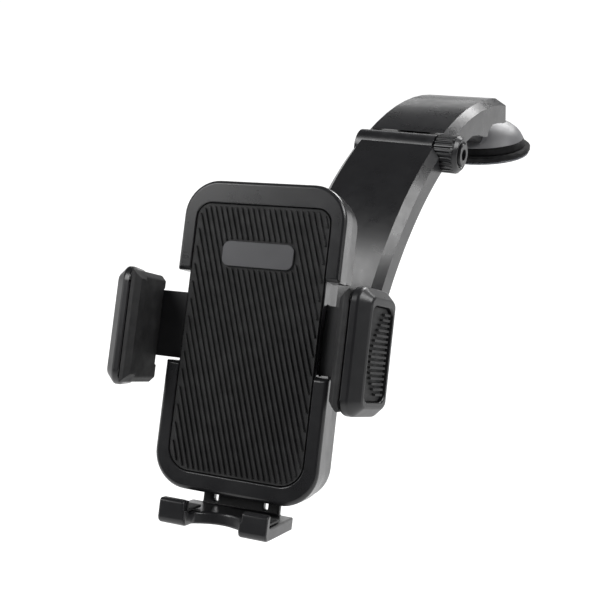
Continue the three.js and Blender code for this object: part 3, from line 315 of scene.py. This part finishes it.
LOOKS = {
    "gloss_black": moulded_plastic(
        "gloss_plastic", (0.010, 0.010, 0.011), roughness=0.30,
        grain_mm=0.5, grain_depth=0.0, worn=0.3, coat=0.1),
    "satin_black": moulded_plastic(
        "satin_plastic", (0.009, 0.009, 0.010), roughness=0.33,
        grain_mm=0.4, grain_depth=0.0015, worn=0.35),
    "inner_plastic": moulded_plastic(
        "inner_plastic", (0.008, 0.008, 0.009), roughness=0.46,
        grain_mm=0.4, grain_depth=0.003, worn=0.3),
    "soft_rubber": soft_rubber("soft_rubber", (0.007, 0.007, 0.0075), roughness=0.62),
    "badge_grey": moulded_plastic(
        "badge_plastic", (0.055, 0.055, 0.059), roughness=0.42,
        grain_mm=0.3, grain_depth=0.001, worn=0.3),
    "steel": metal("zinc_steel", (0.58, 0.59, 0.61)),
    "brass": metal("turned_brass", (0.72, 0.55, 0.28)),
    "acetal": moulded_plastic(
        "acetal", (0.72, 0.72, 0.69), roughness=0.45,
        grain_mm=0.4, grain_depth=0.006, worn=0.1),
    "gel": clear_gel("clear_gel"),
}
CUP_LOOK = soft_rubber("cup_rubber", (0.004, 0.004, 0.0045), roughness=0.7, shine=0.15)
# painted highlight: the dome's plastic is a pale grey, far paler than the dark plastic it really is, so that its
# colour stands in for a broad highlight that the lamps don't give it
DOME_PAINTED_HIGHLIGHT_LOOK = moulded_plastic(
    "dome_plastic_painted_highlight", (0.13, 0.13, 0.135), roughness=0.46,
    grain_mm=0.4, grain_depth=0.001, worn=0.3)

# ------------------------------------------------------------------ mesh tools
SMOOTH_BELOW = 32                      # degrees between two faces that still shade as one
BEVEL_SEGMENTS = 2


def head_frame():
    """The cradle's frame at rest, from its three ball joints."""
    across = Vector(JOINTS["cradle_tilt"]["axis"])
    upward = Vector(JOINTS["cradle_pan"]["axis"])
    outward = Vector(JOINTS["cradle_roll"]["axis"])
    place = Matrix((across, upward, outward)).transposed().to_4x4()
    place.translation = Vector(JOINTS["cradle_roll"]["pos_m"])
    return place


HEAD = head_frame()


def mark_sharp(bm, degrees):
    """Smooth shading across shallow edges only."""
    limit = math.radians(degrees)
    for face in bm.faces:
        face.smooth = True
    for edge in bm.edges:
        edge.smooth = len(edge.link_faces) == 2 and edge.calc_face_angle(0) < limit


def round_edges(piece, width_mm, degrees):
    bevel = piece.modifiers.new("rounded_edges", "BEVEL")
    bevel.width = width_mm * MM
    bevel.segments = BEVEL_SEGMENTS
    bevel.limit_method = "ANGLE"
    bevel.angle_limit = math.radians(degrees)
    bevel.use_clamp_overlap = False
    bevel.miter_outer = "MITER_ARC"


def add_piece(name, bm, node, bevel_mm=0.0, sharp=SMOOTH_BELOW, material=None):
    """Turns a bmesh in row metres into a finished piece that stands for a CAD node."""
    slot = SLOT_OF[node]
    mark_sharp(bm, sharp)
    mesh = bpy.data.meshes.new(name)
    bm.to_mesh(mesh)
    bm.free()
    piece = bpy.data.objects.new(name, mesh)
    bpy.context.scene.collection.objects.link(piece)
    mesh.materials.append(material or LOOKS[slot])
    if bevel_mm:
        round_edges(piece, bevel_mm, sharp)
    weights = piece.modifiers.new("even_shading", "WEIGHTED_NORMAL")
    weights.keep_sharp = True
    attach(piece, BODY_OF[node])
    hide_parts(node)


def cad_shape(node):
    """The CAD node's solid with its doubled points joined and its slivers removed."""
    source = NODES[node].data
    bm = bmesh.new()
    points = [bm.verts.new(v.co) for v in source.vertices]
    for polygon in source.polygons:
        corners = [points[i] for i in polygon.vertices]
        whole = len(set(corners)) == len(corners)
        if whole and bm.faces.get(corners) is None:
            bm.faces.new(corners)
    bmesh.ops.remove_doubles(bm, verts=bm.verts, dist=0.004 * MM)
    bmesh.ops.dissolve_degenerate(bm, edges=bm.edges, dist=0.01 * MM)
    bmesh.ops.recalc_face_normals(bm, faces=bm.faces)
    return bm


# ------------------------------------------------------------------ centre pad
# millimetres, in the cradle's own frame
PAD_CORNERS = (8, 5)                   # corner radii at the pad's lower and upper end
PAD_BORDER = 0.5                       # plain rim round the ribs
BADGE_ROOM = 0.8                       # plain ground left round the badge
BADGE_CORNERS = (3.4, 3.4)
RIB_HEIGHT = 0.9
RIB_WIDTH = 0.78
RIB_PITCH = 2.0
RIB_LEAN = 18                          # degrees from upright
RIB_TAPER = 0.25                       # length over which a rib's end slopes down
RIB_END_SHARE = 0.7                    # height left at a rib's end
SHORTEST_RIB = 1.5
# half of a rib's section, from its sunk foot to its crown: share of the width, height
RIB_SIDE = ((0.5, -0.1), (0.42, 0.7), (0.22, 0.88))


def head_box(node):
    """The least and greatest corners of a node in the cradle's frame, in millimetres."""
    turn = HEAD.inverted()
    thing = NODES[node]
    points = [turn @ (thing.matrix_world @ v.co) / MM for v in thing.data.vertices]
    return [[pick(p[axis] for p in points) for axis in range(3)] for pick in (min, max)]


class Plate:
    """A rounded rectangle in the cradle's frame, with one radius at its low corners and one
    at its high corners."""

    def __init__(self, low, high, corners):
        self.low = low
        self.high = high
        self.corners = corners

    def outline(self, inset=0.0, steps=8):
        """Points round the outline, moved inwards by an inset."""
        points = []
        for quarter, (x_side, u_side) in enumerate(((1, 0), (1, 1), (0, 1), (0, 0))):
            radius = self.corners[u_side] - inset
            x = (self.high if x_side else self.low)[0] + (-1 if x_side else 1) * (inset + radius)
            u = (self.high if u_side else self.low)[1] + (-1 if u_side else 1) * (inset + radius)
            for step in range(steps + 1):
                angle = math.radians(90 * (quarter - 1 + step / steps))
                points.append((x + radius * math.cos(angle), u + radius * math.sin(angle)))
        return points

    def holds(self, x, u, inset=0.0):
        """True where a point lies inside the outline moved inwards by an inset."""
        middle = (self.low[1] + self.high[1]) / 2
        radius = self.corners[u > middle] - inset
        dx = max(self.low[0] + inset + radius - x, x - self.high[0] + inset + radius, 0)
        du = max(self.low[1] + inset + radius - u, u - self.high[1] + inset + radius, 0)
        return math.hypot(dx, du) <= radius


def add_loops(bm, loops):
    """Skins a row of matching closed loops of head points (mm) and caps both ends."""
    rings = [[bm.verts.new(HEAD @ (Vector(point) * MM)) for point in loop] for loop in loops]
    bm.faces.new(list(reversed(rings[0])))
    bm.faces.new(rings[-1])
    for lower, upper in zip(rings, rings[1:]):
        for i, corner in enumerate(lower):
            j = (i + 1) % len(lower)
            bm.faces.new((corner, lower[j], upper[j], upper[i]))


def runs(test, start, end, step=0.1):
    """Stretches between start and end where a test holds."""
    found = []
    first = None
    for i in range(int((end - start) / step) + 1):
        at = start + i * step
        if test(at) and first is None:
            first = at
        elif first is not None and not test(at):
            found.append((first, at - step))
            first = None
    return found


def rib_section():
    """A rib's closed section, its crown in the middle."""
    left = [(-across, height) for across, height in RIB_SIDE]
    return left + [(0.0, RIB_HEIGHT)] + list(reversed(RIB_SIDE))


def add_rib(bm, middle_x, low, high, floor):
    """One rib between two heights u, whose ends slope down."""
    ends = (
        (low, RIB_END_SHARE),
        (low + RIB_TAPER, 1.0),
        (high - RIB_TAPER, 1.0),
        (high, RIB_END_SHARE),
    )
    loops = []
    for u, share in ends:
        loop = []
        for across, height in rib_section():
            rise = height if height < 0 else height * share
            loop.append((middle_x(u) + RIB_WIDTH * across, u, floor + rise))
        loops.append(loop)
    add_loops(bm, loops)


def make_centre_pad():
    """Rubber pad with leaning ribs that stop at a plain border and round the badge."""
    (x0, u0, back), (x1, u1, top) = head_box("centre_pad")
    (badge_x0, badge_u0, _), (badge_x1, badge_u1, _) = head_box("blank_badge")
    pad = Plate((x0, u0), (x1, u1), PAD_CORNERS)
    badge = Plate((badge_x0 - BADGE_ROOM, badge_u0 - BADGE_ROOM),
                  (badge_x1 + BADGE_ROOM, badge_u1 + BADGE_ROOM), BADGE_CORNERS)
    floor = top - RIB_HEIGHT
    bm = bmesh.new()
    rim = ((0.0, back), (0.0, floor - 0.1), (0.15, floor + 0.1), (PAD_BORDER, floor))
    add_loops(bm, [[(x, u, n) for x, u in pad.outline(inset)] for inset, n in rim])

    lean = math.tan(math.radians(RIB_LEAN))
    centre = (u0 + u1) / 2
    reach = (x1 - x0) / 2 + lean * (u1 - u0) / 2
    for i in range(int(2 * reach / RIB_PITCH) + 1):
        start = (x0 + x1) / 2 - reach + i * RIB_PITCH

        def middle_x(u):
            return start - lean * (u - centre)

        def is_rib(u):
            x = middle_x(u)
            return pad.holds(x, u, PAD_BORDER + RIB_WIDTH / 2) and not badge.holds(x, u)

        for low, high in runs(is_rib, u0, u1):
            if high - low >= SHORTEST_RIB:
                add_rib(bm, middle_x, low, high, floor)
    bmesh.ops.recalc_face_normals(bm, faces=bm.faces)
    add_piece("centre_pad_ribbed", bm, "centre_pad", sharp=50)


# ------------------------------------------------------------------ finished nodes
# how far each outer node's edges are rounded; 0 keeps its edges and smooths its curves
EDGE_MM = {
    "upper_arm_shell": 0.0,
    "lower_arm_shell": 0.0,
    "dome_cover": 0.35,
    "base_ring": 0.3,
    "suction_cup": 0.0,
    "lock_lever": 0.35,
    "hinge_bracket": 0.4,
    "front_frame": 0.4,
    "rear_housing": 0.4,
    "collar_nut": 0.35,
    "ball_stud": 0.3,
    "elbow_knob": 0.16,
    "elbow_bolt": 0.2,
    "jaw_shell_left": 0.45,
    "jaw_shell_right": 0.45,
    "jaw_pad_left": 0.35,
    "jaw_pad_right": 0.35,
    "jaw_grip_left": 0.0,
    "jaw_grip_right": 0.0,
    "rack_left": 0.25,
    "rack_right": 0.25,
    "release_button": 0.3,
    "foot_bracket": 0.65,
    "foot_pad_left": 0.2,
    "foot_pad_right": 0.2,
    "blank_badge": 0.2,
    "gel_pad": 0.2,
    "lower_arm_cover": 0.2,
    "upper_arm_cover": 0.2,
}
# the arms' bevels meet their faces at a shallow angle and still read as crisp strips
CRISP = {"upper_arm_shell": 14, "lower_arm_shell": 14}
OWN_LOOK = {"dome_cover": DOME_PAINTED_HIGHLIGHT_LOOK, "suction_cup": CUP_LOOK, "base_ring": CUP_LOOK}


def dress_nodes():
    """A full material on every node, for those that keep their own mesh."""
    for node, thing in NODES.items():
        thing.data.materials.clear()
        thing.data.materials.append(LOOKS[SLOT_OF[node]])


def finish_nodes():
    """A rounded, smoothly shaded copy in place of each outer node."""
    for node, width in EDGE_MM.items():
        add_piece(node + "_finished", cad_shape(node), node, width,
                  CRISP.get(node, SMOOTH_BELOW), OWN_LOOK.get(node))


make_camera()
make_studio()
dress_nodes()
make_centre_pad()
finish_nodes()
